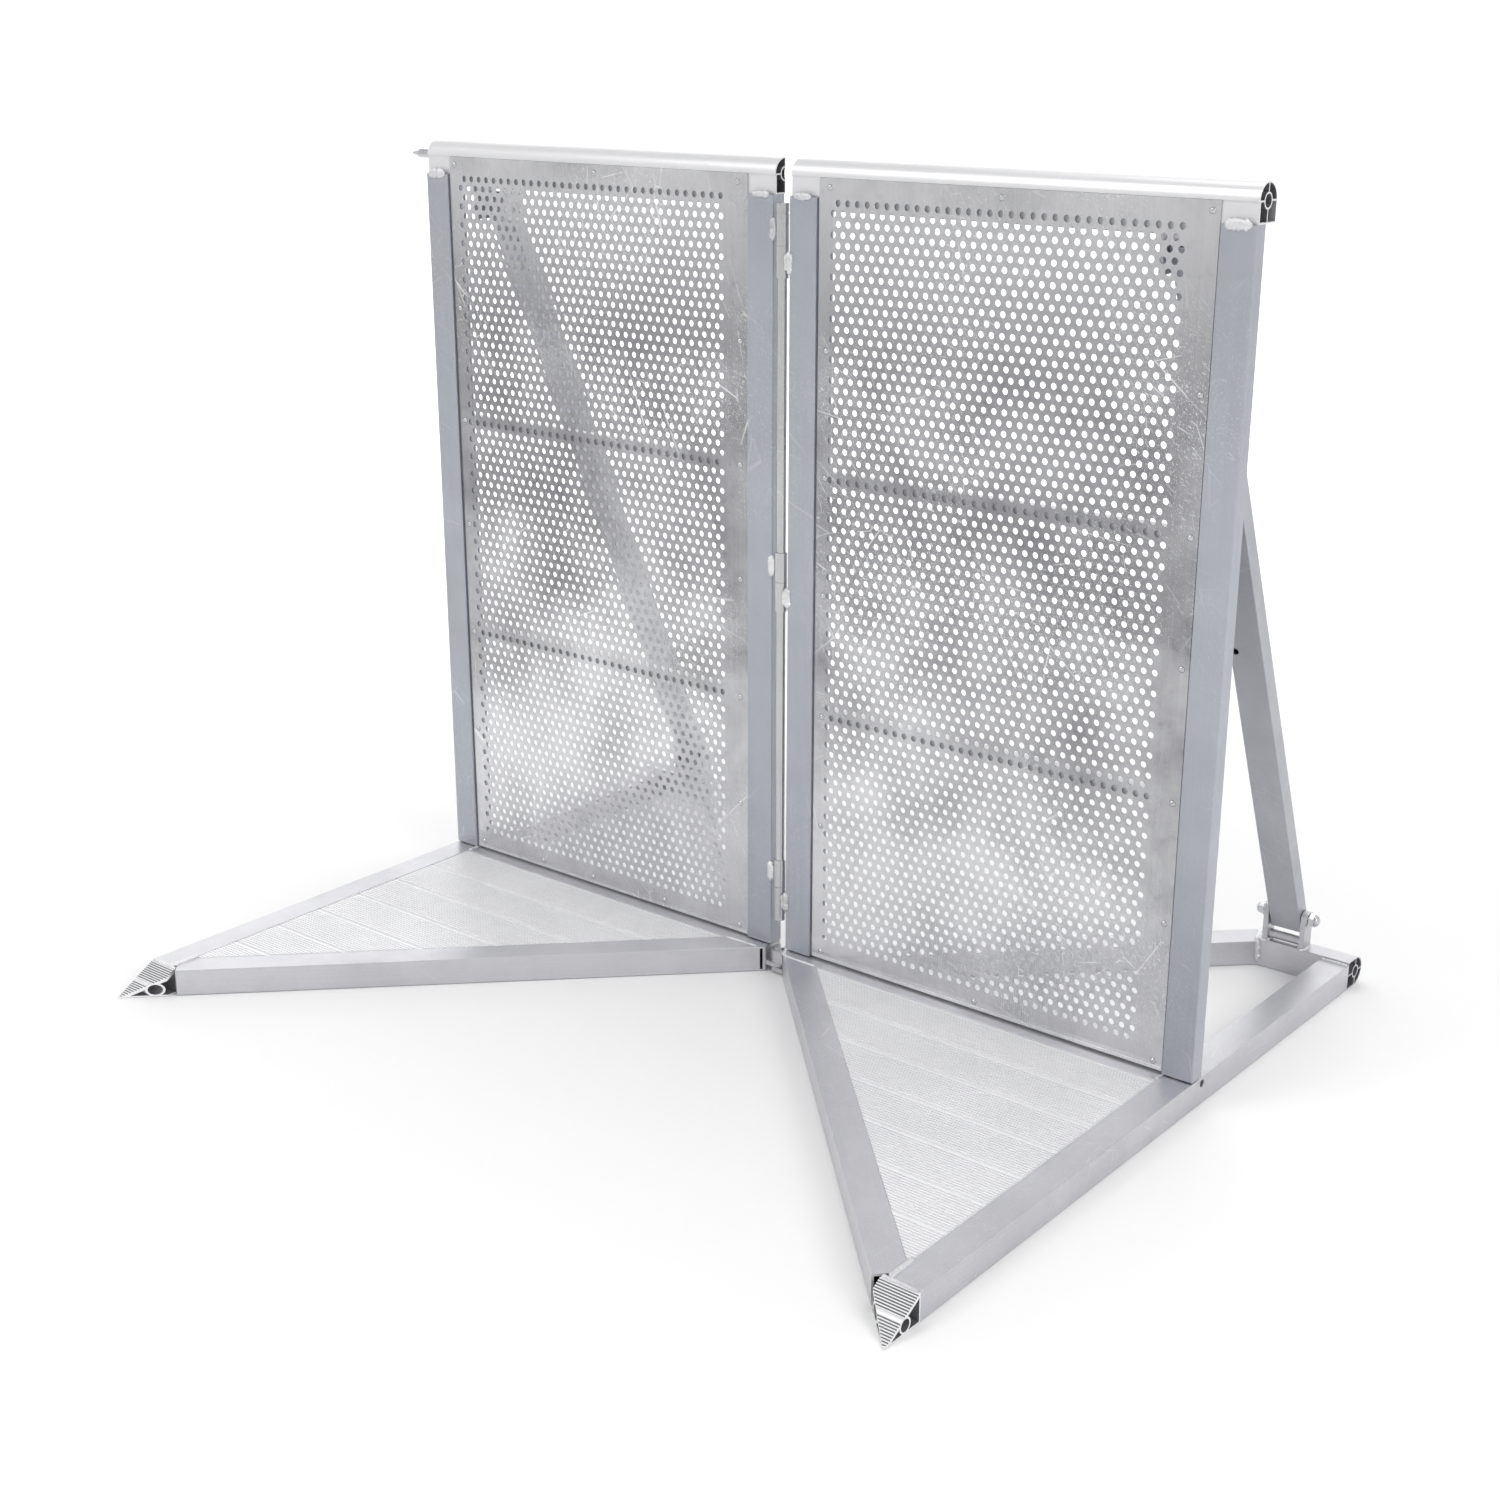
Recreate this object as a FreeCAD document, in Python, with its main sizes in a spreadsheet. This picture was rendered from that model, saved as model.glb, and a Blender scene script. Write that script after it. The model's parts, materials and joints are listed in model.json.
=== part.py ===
import FreeCAD, Part
import math
import os
import re
from FreeCAD import Placement, Rotation, Vector

# Crowd control barrier, corner type: two mirrored aluminium halves joined by one upright hinge.
# Each half is a perforated fence panel on a triangular base, with a strut behind it.
# Sizes are in millimetres. The right half is drawn with the hinge axis on Z and then moved,
# so that the origin ends under the middle of the whole barrier. +X runs along the fence,
# -Y is the crowd's side and +Z is up.

SIZES = {
    # overall
    "half_width": 702, "barrier_height": 1200, "hinge_x": 28, "hinge_y": 85,
    # posts and the cross tubes between them
    "hinge_gap": 14, "post_width": 46, "post_depth": 26, "post_front": -4, "post_wall": 2.5,
    "post_foot": 42, "post_radius": 2, "inner_flange": 23, "outer_flange": 30, "flange_thick": 3,
    "flange_foot": 76,
    "cross_depth": 17, "cross_height": 18, "top_cross": 1133, "upper_cross": 761.8,
    "lower_cross": 415.3,
    "sill_depth": 20, "sill_height": 30, "cross_wall": 2,
    # bullnose rail
    "rail_depth": 45, "rail_height": 49, "rail_wall": 2, "rail_step": 2,
    "ring_outer": 20.5, "ring_bore": 16,
    # perforated sheet
    "sheet_thick": 2, "sheet_gap": 2.2, "sheet_foot": 43,
    "screw_shank": 4, "screw_head": 9, "screw_dome": 2.4,
    # corner hinge
    "rod_size": 14, "knuckle_size": 18, "knuckle_bore": 14.1, "knuckle_length": 43,
    "knuckle_gap": 0.6, "top_knuckle": 1084, "knuckle_drop": 472, "rod_foot": 86, "rod_top": 1141,
    "weld_tab": 24,
    # base tubes
    "tube_width": 45, "tube_height": 40, "tube_wall": 3, "tube_radius": 1.5,
    "front_end": 630, "nose_tip": 700, "diagonal_offset": 2, "diagonal_cut": 637,
    "cross_front": 23, "cross_start": 19, "rear_end": 481, "rear_offset": 10,
    "crossbar_inner": 554.6, "crossbar_outer": 540,
    # pivot of the upright in the base, and its tongue
    "pivot_y": 24.7, "pivot_z": 31, "pivot_size": 10, "pivot_window": 11, "tongue_thick": 8,
    "tongue_x": 675,
    # deck
    "planks": 7, "plank_width": 81, "rib_pitch": 5.4, "rib_width": 2.8, "rib_top": 40.5,
    "deck_top": 38.5, "deck_under": 34, "rib_stop": 1.5, "nose_start": 648, "nose_wall": 2.2,
    "ramp_pitch": 3.6, "ramp_rise": 1.2,
    "nose_ring_y": 659, "nose_ring_z": 11, "nose_ring": 21, "nose_bore": 16,
    # strut, its clevis and its hanger
    "strut_width": 50, "strut_depth": 25, "strut_wall": 3, "strut_middle": 595, "strut_foot": 20,
    "strut_length": 1140, "strut_lean": 23.46, "strut_y": 492, "strut_z": 92, "pin_reach": 1100,
    "stud_size": 12, "stud_bore": 12.1, "ear_thick": 8, "ear_width": 24, "ear_gap": 1,
    "bar_size": 14, "washer_size": 24, "washer_thick": 2, "nut_size": 19,
    "nut_length": 9, "nut_dome": 6, "hanger_thick": 6, "notch": 13, "hanger_plate": 4,
    # base hinge
    "lug_radius": 13, "lug_plate": 16, "lug_pin": 10, "lug_bore": 10.1,
    "lower_lug": 3, "tongue_lug": 10.5, "upper_lug": 18, "lug_top": 37,
    # spigot for the next barrier
    "spigot_size": 14.5, "spigot_seat": 40, "spigot_body": 38, "spigot_tip": 18, "spigot_end": 5,
}
SCREW_ROWS = (948, 772, 603, 423, 255)
SCREW_COLUMNS = (76, 643)
TOP_SCREWS = (80, 350, 643)
SILL_SCREWS_RIGHT = (79, 353, 640)
SILL_SCREWS_LEFT = (79, 233, 387, 500, 640)
TOP_SCREW_Z = 1165
SILL_SCREW_Z = 54

doc = FreeCAD.newDocument("crowd_control_barrier")
sheet = doc.addObject("Spreadsheet::Sheet", "sizes")
for row, (alias, value) in enumerate(SIZES.items(), start=1):
    sheet.set("A%d" % row, alias)
    sheet.set("B%d" % row, str(value))
    sheet.setAlias("B%d" % row, alias)
doc.recompute()
nodes = {}
ALIAS_WORDS = re.compile("|".join(r"\b%s\b" % alias for alias in SIZES))


def number(alias):
    return float(sheet.get(alias))


def cells(text):
    """Expression text with each alias pointed at the sheet."""
    return ALIAS_WORDS.sub(lambda match: "sizes." + match.group(0), str(text))


def bind(thing, **expressions):
    """Bind properties to the sheet; base_x means Placement.Base.x."""
    for name, text in expressions.items():
        path = "Placement.Base." + name[-1] if name.startswith("base_") else name
        thing.setExpression(path, cells(text))
    return thing


def block(name, x, y, z):
    """Box between pairs of expressions (low, high) along each axis."""
    box = doc.addObject("Part::Box", name)
    for length, base, span in (("Length", "base_x", x), ("Width", "base_y", y), ("Height", "base_z", z)):
        bind(box, **{length: "(%s) - (%s)" % (span[1], span[0]), base: span[0]})
    return box


AXIS_TURNS = {"x": Rotation(Vector(0, 1, 0), 90), "y": Rotation(Vector(1, 0, 0), -90), "z": Rotation()}


def round_bar(name, axis, diameter, start, end, across, up, second=None):
    """Cylinder, or cone if a second diameter is given, along an axis from start to end.

    across and up are its place on the other two axes, in X, Y, Z order.
    """
    kind = "Part::Cylinder" if second is None else "Part::Cone"
    bar = doc.addObject(kind, name)
    bar.Placement = Placement(Vector(), AXIS_TURNS[axis])
    bind(bar, Height="(%s) - (%s)" % (end, start))
    if second is None:
        bind(bar, Radius="(%s) / 2" % diameter)
    else:
        bind(bar, Radius1="(%s) / 2" % diameter, Radius2="(%s) / 2" % second)
    others = [letter for letter in "xyz" if letter != axis]
    bind(bar, **{"base_" + axis: start, "base_" + others[0]: across, "base_" + others[1]: up})
    return bar


def joined(name, *parts):
    fuse = doc.addObject("Part::MultiFuse", name)
    fuse.Shapes = list(parts)
    return fuse


def cut(name, body, *tools):
    """Body less each tool in turn."""
    for count, tool in enumerate(tools):
        last = count == len(tools) - 1
        result = doc.addObject("Part::Cut", name if last else "%s_step%d" % (name, count))
        result.Base = body
        result.Tool = tool
        body = result
    return body


def group(name, *parts):
    compound = doc.addObject("Part::Compound", name)
    compound.Links = list(parts)
    return compound


def rounded(name, body, direction, radius):
    """Round every straight edge of a body that runs along a direction."""
    doc.recompute()
    fillet = doc.addObject("Part::Fillet", name)
    fillet.Base = body
    edges = []
    for index, edge in enumerate(body.Shape.Edges, start=1):
        if edge.Length > 1e-6 and abs(edge.tangentAt(edge.FirstParameter).dot(direction)) > 0.999:
            edges.append((index, number(radius), number(radius)))
    fillet.Edges = edges
    return fillet


def tube(name, length, width, height, wall, radius, along="x"):
    """Rectangular tube from the local origin, open at both ends."""
    spans = {"x": (length, width, height), "z": (width, height, length)}[along]
    outer = block(name + "_outer", *[("0", text) for text in spans])
    direction = Vector(1, 0, 0) if along == "x" else Vector(0, 0, 1)
    skin = rounded(name + "_skin", outer, direction, radius)
    sides = []
    for letter, text in zip("xyz", spans):
        ends = ("0", text) if letter == along else (wall, "(%s) - %s" % (text, wall))
        sides.append(ends)
    return cut(name, skin, block(name + "_hollow", *sides))


def put(thing, x="0", y="0", z="0", turn=None):
    if turn is not None:
        thing.Placement = Placement(Vector(), turn)
    return bind(thing, base_x=x, base_y=y, base_z=z)


def node(label, thing):
    """Finish a node: name it and move it from the hinge axis to the barrier's own origin."""
    if thing.Placement.Base.Length > 0 or thing.ExpressionEngine:
        thing = group(label, thing)
    bind(thing, base_x="hinge_x", base_y="hinge_y")
    thing.Label = label
    nodes[label] = thing
    return thing


def mirrored(label, source):
    """Left twin of a right-hand node."""
    twin = doc.addObject("Part::Mirroring", label)
    twin.Source = source
    twin.Normal = Vector(1, 0, 0)
    twin.setExpression("Base.x", "sizes.hinge_x")
    twin.Label = label
    nodes[label] = twin
    return twin


def pair(name, thing):
    """Node for the right half and its mirror image for the left half."""
    mirrored(name + "_left", node(name + "_right", thing))


def turned(angle):
    return Rotation(Vector(0, 0, 1), angle)


# ---------------------------------------------------------------- upright frame

POST_SIDE = ("post_foot", "barrier_height - rail_height")


def post(name, start, flange):
    """Hollow post with the flange that the sheet is screwed to."""
    body = tube(name + "_tube", "barrier_height - rail_height - post_foot", "post_width", "post_depth",
                "post_wall", "post_radius", along="z")
    put(body, start, "post_front", "post_foot")
    strip = block(name + "_strip", flange, ("sheet_thick", "sheet_thick + flange_thick"),
                  ("flange_foot", "barrier_height - rail_height"))
    return joined(name + "_blank", body, strip)


def screw_holes(name, places, depth):
    """Drill shapes for screws at (x, z) places, from the sheet's face back to a depth."""
    drills = []
    for count, (x, z) in enumerate(places):
        drills.append(round_bar("%s_%d" % (name, count), "y", "screw_shank", "-1", depth, x, z))
    return group(name, *drills)


def column(index):
    return [(SCREW_COLUMNS[index], z) for z in SCREW_ROWS]


def make_posts():
    inner = post("inner", "hinge_gap", ("hinge_gap + post_width", "hinge_gap + post_width + inner_flange"))
    inner_drills = screw_holes("inner_drill", column(0), "sheet_thick + flange_thick")
    pair("inner_post", cut("inner_drilled", inner, inner_drills))
    outer = post("outer", "half_width - post_width",
                 ("half_width - post_width - outer_flange", "half_width - post_width"))
    outer_drills = screw_holes("outer_drill", column(1), "sheet_thick + flange_thick")
    pair("outer_post", cut("outer_drilled", outer, outer_drills))


def make_cross_tubes():
    clear = "hinge_gap + post_width"
    length = "half_width - hinge_gap - 2 * post_width"
    for name, foot in (("top", "top_cross"), ("upper", "upper_cross"), ("lower", "lower_cross")):
        body = tube(name + "_cross", length, "cross_depth", "cross_height", "cross_wall", "tube_radius")
        pair(name + "_cross_tube", put(body, clear, "sheet_thick + flange_thick", foot))


def make_sill(side, screws):
    name = "sill_" + side
    body = tube(name, "half_width - hinge_gap - 2 * post_width", "sill_depth", "sill_height",
                "cross_wall", "tube_radius")
    put(body, "hinge_gap + post_width", "sheet_thick", "sheet_foot")
    drills = screw_holes(name + "_drill", [(x, SILL_SCREW_Z) for x in screws], "sheet_thick + cross_wall")
    return cut(name + "_drilled", body, drills)


def bullnose(name, start, end, step):
    """Rail extrusion along X: half-round nose upwards, closed skirt, and a ring held by four webs.

    Its round centre is on the local X axis. step sets the skirt's front face back for the sheet.
    """
    drop = "rail_height - rail_depth / 2"
    half = "rail_depth / 2"
    nose = round_bar(name + "_nose", "x", "rail_depth", start, end, "0", "0")
    skirt = block(name + "_skirt", (start, end), ("%s - %s" % (step, half), half), ("-(%s)" % drop, "0"))
    outer = joined(name + "_solid", cut(name + "_cap", nose, block(
        name + "_under", ("%s - 1" % start, "%s + 1" % end), ("-rail_depth", "rail_depth"),
        ("-rail_depth", "0"))), skirt)
    hollow_nose = round_bar(name + "_cell_nose", "x", "rail_depth - 2 * rail_wall", start, end, "0", "0")
    hollow_skirt = block(name + "_cell_skirt", (start, end),
                         ("%s - %s + rail_wall" % (step, half), "%s - rail_wall" % half),
                         ("rail_wall - (%s)" % drop, "0"))
    over = cut(name + "_cell_top", hollow_nose, block(
        name + "_cell_under", ("%s - 1" % start, "%s + 1" % end), ("-rail_depth", "rail_depth"),
        ("-rail_depth", "0")))
    shell = cut(name + "_shell", outer, joined(name + "_cells", over, hollow_skirt))
    web = "rail_wall / 2"
    upright = block(name + "_web", (start, end), ("-" + web, web),
                    ("-(%s) + rail_wall / 2" % drop, half + " - " + web))
    level = block(name + "_shelf", (start, end),
                  ("%s - %s + rail_wall / 2" % (step, half), half + " - " + web), ("-" + web, web))
    ledge = block(name + "_ledge", (start, end),
                  (web + " - " + half, "%s - %s + rail_wall" % (step, half)), ("0", web))
    ring = round_bar(name + "_ring", "x", "ring_outer", start, end, "0", "0")
    bore = round_bar(name + "_bore", "x", "ring_bore", "%s - 1" % start, "%s + 1" % end, "0", "0")
    return cut(name, joined(name + "_webbed", shell, upright, level, ledge, ring), bore)


def make_rail():
    """Top rail, its rear half mitred at the hinge so that the halves can turn back."""
    body = put(bullnose("rail", "hinge_gap", "half_width", "rail_step"),
               y="rail_depth / 2", z="barrier_height - rail_depth / 2")
    mitre = block("rail_mitre", ("0", "100"), ("0", "100"), ("0", "100"))
    put(mitre, "hinge_gap + 0.3", "rail_depth / 2 + 0.8", "barrier_height - 80", turned(45))
    drills = screw_holes("rail_drill", [(x, TOP_SCREW_Z) for x in TOP_SCREWS], "rail_step + rail_wall")
    pair("top_rail", cut("rail_finished", body, mitre, drills))


def screw_places(sill):
    top = [(x, TOP_SCREW_Z) for x in TOP_SCREWS]
    return top + column(0) + column(1) + [(x, SILL_SCREW_Z) for x in sill]


def make_sheet(side, sill):
    """Sheet drawn as its plain blank: only the screw holes are cut, not the thousands of perforations."""
    blank = block("blank_" + side,
                  ("hinge_gap + post_width + sheet_gap", "half_width - post_width - sheet_gap"),
                  ("0", "sheet_thick"), ("sheet_foot", "barrier_height - rail_depth / 2 - 0.5"))
    drills = screw_holes("sheet_drill_" + side, screw_places(sill), "sheet_thick + 1")
    return cut("sheet_" + side, blank, drills)


def make_screws(side, sill):
    """Round-headed screws: a domed head on the sheet and a shank into what is behind it."""
    screws = []
    for count, (x, z) in enumerate(screw_places(sill)):
        name = "screw_%s_%d" % (side, count)
        depth = "sheet_thick + %s" % ("flange_thick" if z in SCREW_ROWS else "rail_wall")
        shank = round_bar(name + "_shank", "y", "screw_shank", "-0.5", depth, x, z)
        head = round_bar(name + "_head", "y", "screw_head * 0.6", "-screw_dome", "0", x, z,
                         second="screw_head")
        screws.append(joined(name, shank, head))
    return group("screws_" + side, *screws)


def make_sided_sheets():
    for side, sill in (("right", SILL_SCREWS_RIGHT), ("left", SILL_SCREWS_LEFT)):
        finish = node if side == "right" else mirror_only
        finish("bottom_cross_tube_" + side, make_sill(side, sill))
        finish("perforated_sheet_" + side, make_sheet(side, sill))
        finish("sheet_screws_" + side, make_screws(side, sill))


def mirror_only(label, thing):
    """Left-hand node drawn on the right and mirrored."""
    drawn = group(label + "_drawn", thing)
    bind(drawn, base_x="hinge_x", base_y="hinge_y")
    return mirrored(label, drawn)


# ---------------------------------------------------------------- corner hinge

def knuckles(side, above):
    """Three barrels, each with a short tab to the post's edge."""
    sets = []
    for count in range(3):
        name = "knuckle_%s_%d" % (side, count)
        middle = "(top_knuckle - %d * knuckle_drop)" % count
        low = middle + (" + knuckle_gap / 2" if above else " - knuckle_gap / 2 - knuckle_length")
        high = middle + (" + knuckle_gap / 2 + knuckle_length" if above else " - knuckle_gap / 2")
        centre = "((%s) + (%s)) / 2" % (low, high)
        barrel = round_bar(name + "_barrel", "z", "knuckle_size", low, high, "0", "0")
        tab = block(name + "_tab", ("knuckle_size / 4", "hinge_gap"), ("post_front + 1.5", "8"),
                    (centre + " - weld_tab / 2", centre + " + weld_tab / 2"))
        bore = round_bar(name + "_bore", "z", "knuckle_bore", low + " - 1", high + " + 1", "0", "0")
        sets.append(cut(name, joined(name + "_solid", barrel, tab), bore))
    return group("knuckles_" + side, *sets)


def make_corner_hinge():
    node("hinge_knuckles_right", knuckles("right", above=False))
    mirror_only("hinge_knuckles_left", knuckles("left", above=True))
    node("hinge_rod", round_bar("rod", "z", "rod_size", "rod_foot", "rod_top", "0", "0"))
    collar_low = "top_knuckle + knuckle_gap + knuckle_length + 0.6"
    ring = round_bar("collar_ring", "z", "knuckle_size", collar_low, "rod_top", "0", "0")
    ring_bore = round_bar("collar_bore", "z", "rod_size", collar_low + " - 1", "rod_top + 1", "0", "0")
    node("rod_collar", cut("collar", ring, ring_bore))
    cap_top = "top_knuckle - 2 * knuckle_drop - knuckle_length - knuckle_gap / 2"
    cap = round_bar("cap_ring", "z", "rod_size + 3", "rod_foot", cap_top, "0", "0")
    cap_bore = round_bar("cap_bore", "z", "rod_size", "rod_foot - 1", cap_top + " + 1", "0", "0")
    node("rod_end_ring", cut("rod_end", cap, cap_bore))


# ---------------------------------------------------------------- base

def diagonal_clip(name, low, high, bottom, top, turn, x):
    """Long block beside a 45 degree line through (x, 0), between two distances from that line."""
    clip = block(name, ("0", "1400"), (low, high), (bottom, top))
    reach = "(%s)" % low
    if turn < 0:
        return put(clip, "%s + %s * 0.70710678" % (x, reach), "%s * 0.70710678" % reach, bottom, turned(turn))
    return put(clip, "%s - %s * 0.70710678" % (x, reach), "%s * 0.70710678" % reach, bottom, turned(turn))


def make_base_tubes():
    side = tube("side_blank", "front_end + rear_end", "tube_width", "tube_height", "tube_wall", "tube_radius")
    put(side, "half_width", "-front_end", "0", turned(90))
    slot = block("tongue_slot", ("tongue_x - tongue_thick / 2 - 0.5", "tongue_x + tongue_thick / 2 + 0.5"),
                 ("-1.5", "33"), ("tube_height - tube_wall - 1", "tube_height + 1"))
    pivot = round_bar("pivot_drill", "x", "pivot_size", "half_width - tube_width - 1", "half_width - 20",
                      "pivot_y", "pivot_z")
    window = round_bar("pivot_window_drill", "x", "pivot_window", "half_width - 20", "half_width + 1",
                       "pivot_y", "pivot_z")
    pair("base_side_tube", cut("side_tube", side, slot, pivot, window))

    cross = tube("cross_blank", "half_width - tube_width - cross_start", "tube_width", "tube_height",
                 "tube_wall", "tube_radius")
    put(cross, "cross_start", "-cross_front")
    corner = diagonal_clip("cross_corner", "-60", "0", "-1", "60", -45, "diagonal_offset")
    pair("base_cross_tube", cut("cross_tube", cross, corner))

    front = tube("front_blank", "diagonal_cut * 1.41421356", "tube_width", "tube_height", "tube_wall",
                 "tube_radius")
    put(front, "diagonal_offset", "0", "0", turned(-45))
    beside = block("front_beside", ("half_width - tube_width", "half_width + 99"), ("-800", "0"),
                   ("-1", "60"))
    behind = block("front_behind", ("-60", "200"), ("-cross_front", "100"), ("-1", "60"))
    pair("front_diagonal_tube", cut("front_tube", front, beside, behind))

    rear = tube("rear_blank", "900", "tube_width", "tube_height", "tube_wall", "tube_radius")
    put(rear, "rear_offset + tube_width * 0.70710678", "-tube_width * 0.70710678", "0", turned(45))
    before = block("rear_before", ("-60", "300"), ("-200", "tube_width - cross_front"), ("-1", "60"))
    pair("rear_diagonal_tube", cut("rear_tube", rear, before, mitre_block("rear_mitre", ("0", "400"))))


def mitre_block(name, x):
    """Block on one side of the joint between the rear diagonal and the rear cross bar."""
    run = number("crossbar_inner") - number("crossbar_outer")
    depth = number("rail_height")
    lean = math.degrees(math.atan2(run, depth))
    clip = block(name, ("0", "(%s) - (%s)" % (x[1], x[0])), ("0", "600"), ("0", "80"))
    back = Vector(math.sin(math.radians(lean)), -math.cos(math.radians(lean)), 0) * 200
    shift = Vector(math.cos(math.radians(lean)), math.sin(math.radians(lean)), 0) * float(x[0])
    start = "crossbar_inner + %.6f" % (back.x + shift.x)
    return put(clip, start, "rear_end + %.6f" % (back.y + shift.y), "-10", turned(lean))


def make_crossbar():
    """Rear cross bar: the rail's extrusion on its side, nose to the rear."""
    bar = bullnose("crossbar", "crossbar_outer - 20", "half_width", "0")
    bar.Placement = Placement(Vector(), Rotation(Vector(1, 0, 0), -90))
    bind(bar, base_y="rear_end + rail_height - rail_depth / 2", base_z="rail_depth / 2")
    pair("rear_crossbar", cut("crossbar_cut", bar, mitre_block("crossbar_mitre", ("-100", "0"))))


def profile_plank(name, count):
    """One ribbed deck plank: a flat plate with square ribs along X."""
    front = -number("cross_front") - (count + 1) * number("plank_width") + 0.25
    back = front + number("plank_width") - 0.5
    low, face, top = number("deck_under"), number("deck_top"), number("rib_top")
    points = [Vector(0, back, face), Vector(0, back, low), Vector(0, front, low), Vector(0, front, face)]
    ribs = int(number("plank_width") / number("rib_pitch"))
    for rib in range(ribs):
        start = front + (number("rib_pitch") - number("rib_width")) / 2 + rib * number("rib_pitch") - 0.2
        for y, z in ((0, face), (0, top), (number("rib_width"), top), (number("rib_width"), face)):
            points.append(Vector(0, start + y, z))
    points.append(points[0])
    start_x = number("cross_front")
    outline = Part.Face(Part.makePolygon([point + Vector(start_x, 0, 0) for point in points]))
    plank = doc.addObject("Part::Feature", name)
    plank.Shape = outline.extrude(Vector(number("half_width") - number("tube_width") - start_x, 0, 0))
    return plank


def make_deck():
    planks = []
    for count in range(int(number("planks"))):
        clip = diagonal_clip("plank_clip_%d" % count, "-800", "tube_width", "0", "60", -45, "diagonal_offset")
        stop = block("plank_stop_%d" % count, ("half_width - tube_width - rib_stop", "half_width"),
                     ("-700", "0"), ("deck_top", "deck_top + 9"))
        planks.append(cut("plank_%d" % count, profile_plank("plank_blank_%d" % count, count), clip, stop))
    pair("deck_planks", group("deck", *planks))


def make_nose():
    """Ramp at the front corner: ribbed slope, floor plate and ring, cut off along the diagonal."""
    tip, back, high = -number("nose_tip"), -number("front_end"), number("tube_height")
    slope = Vector(0, back - tip, high)
    along = Vector(slope).normalize()
    normal = Vector(0, -along.z, along.y)
    rise = number("ramp_rise")
    points = [Vector(0, back, 0), Vector(0, tip, 0)]
    ribs = int(slope.Length / number("ramp_pitch"))
    for rib in range(1, ribs):
        foot = Vector(0, tip, 0) + along * (rib * number("ramp_pitch")) - normal * rise
        over = foot + along * (number("ramp_pitch") / 2)
        points += [foot, foot + normal * rise, over + normal * rise, over]
    points.append(Vector(0, back, high - rise * 1.4))
    points.append(points[0])
    start = Vector(number("nose_start"), 0, 0)
    run = Vector(number("half_width") - number("nose_start"), 0, 0)
    solid = doc.addObject("Part::Feature", "nose_solid")
    solid.Shape = Part.Face(Part.makePolygon([point + start for point in points])).extrude(run)
    wall = number("nose_wall")
    inner = [Vector(0, tip + 6.5 * wall, wall), Vector(0, back - wall, wall),
             Vector(0, back - wall, high - 3.4 * wall)]
    inner.append(inner[0])
    hollow = doc.addObject("Part::Feature", "nose_hollow")
    hollow.Shape = Part.Face(Part.makePolygon([point + start for point in inner])).extrude(run)
    ends = ("nose_start", "half_width")
    ring = round_bar("nose_ring", "x", "nose_ring", *ends, "-nose_ring_y", "nose_ring_z")
    bore = round_bar("nose_bore_drill", "x", "nose_bore", "nose_start - 1", "half_width + 1",
                     "-nose_ring_y", "nose_ring_z")
    clip = diagonal_clip("nose_clip", "-200", "0", "-1", "60", -45, "diagonal_offset")
    shell = cut("nose_shell", solid, hollow)
    pair("nose_ramp", cut("nose", joined("nose_ringed", shell, ring), bore, clip))


def make_base_hinge():
    """Lugs under the hinge rod that join the two bases, and their pin."""
    end_plate = ("lug_plate", "cross_start")

    def lug(name, low, high):
        round_end = round_bar(name + "_round", "z", "2 * lug_radius", low, high, "0", "0")
        arm = block(name + "_arm", ("0", "lug_plate + 1"), ("-lug_radius", "lug_radius"), (low, high))
        return [round_end, arm]

    def finished(side, spans):
        plate = block("lug_plate_" + side, end_plate, ("-cross_front", "tube_width - cross_front"),
                      ("0", "tube_height"))
        corner = diagonal_clip("lug_corner_" + side, "-60", "0", "-1", "60", -45, "diagonal_offset")
        parts = [cut("lug_plate_cut_" + side, plate, corner)]
        for count, (low, high) in enumerate(spans):
            parts += lug("lug_%s_%d" % (side, count), low, high)
        bore = round_bar("lug_bore_" + side, "z", "lug_bore", "-1", "60", "0", "0")
        return cut("lugs_" + side, joined("lug_solid_" + side, *parts), bore)

    node("base_lugs_right", finished("right", (("lower_lug", "lower_lug + 7"), ("upper_lug", "lug_top"))))
    mirror_only("base_lug_left", finished("left", (("tongue_lug", "tongue_lug + 7"),)))
    pin = round_bar("pin_shank", "z", "lug_pin", "1", "lug_top + 3", "0", "0")
    head = round_bar("pin_head", "z", "lug_pin + 6", "lug_top", "lug_top + 4", "0", "0")
    node("base_pivot_pin", joined("pivot_pin", pin, head))


def make_feet():
    """Tongue in the outer post that stands in the side tube, and the pivot pin through it."""
    reach = ("tongue_x - tongue_thick / 2", "tongue_x + tongue_thick / 2")
    upper = block("tongue_upper", reach, ("-1", "19.5"), ("12", "110"))
    lower = block("tongue_lower", reach, ("-1", "32"), ("12", "tube_height"))
    hole = round_bar("tongue_hole", "x", "pivot_size", "600", "750", "pivot_y", "pivot_z")
    pair("post_tongue", cut("tongue", joined("tongue_solid", upper, lower), hole))
    pair("pivot_pin", round_bar("pivot_pin_bar", "x", "pivot_size", "half_width - tube_width",
                                "half_width - 6", "pivot_y", "pivot_z"))


# ---------------------------------------------------------------- strut

def beside(distance, thick, direction):
    """Span along X of a thing at a distance from the strut's middle, towards direction."""
    near = "strut_middle + %d * (%s)" % (direction, distance)
    far = "strut_middle + %d * (%s + %s)" % (direction, distance, thick)
    return (near, far) if direction > 0 else (far, near)


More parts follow.
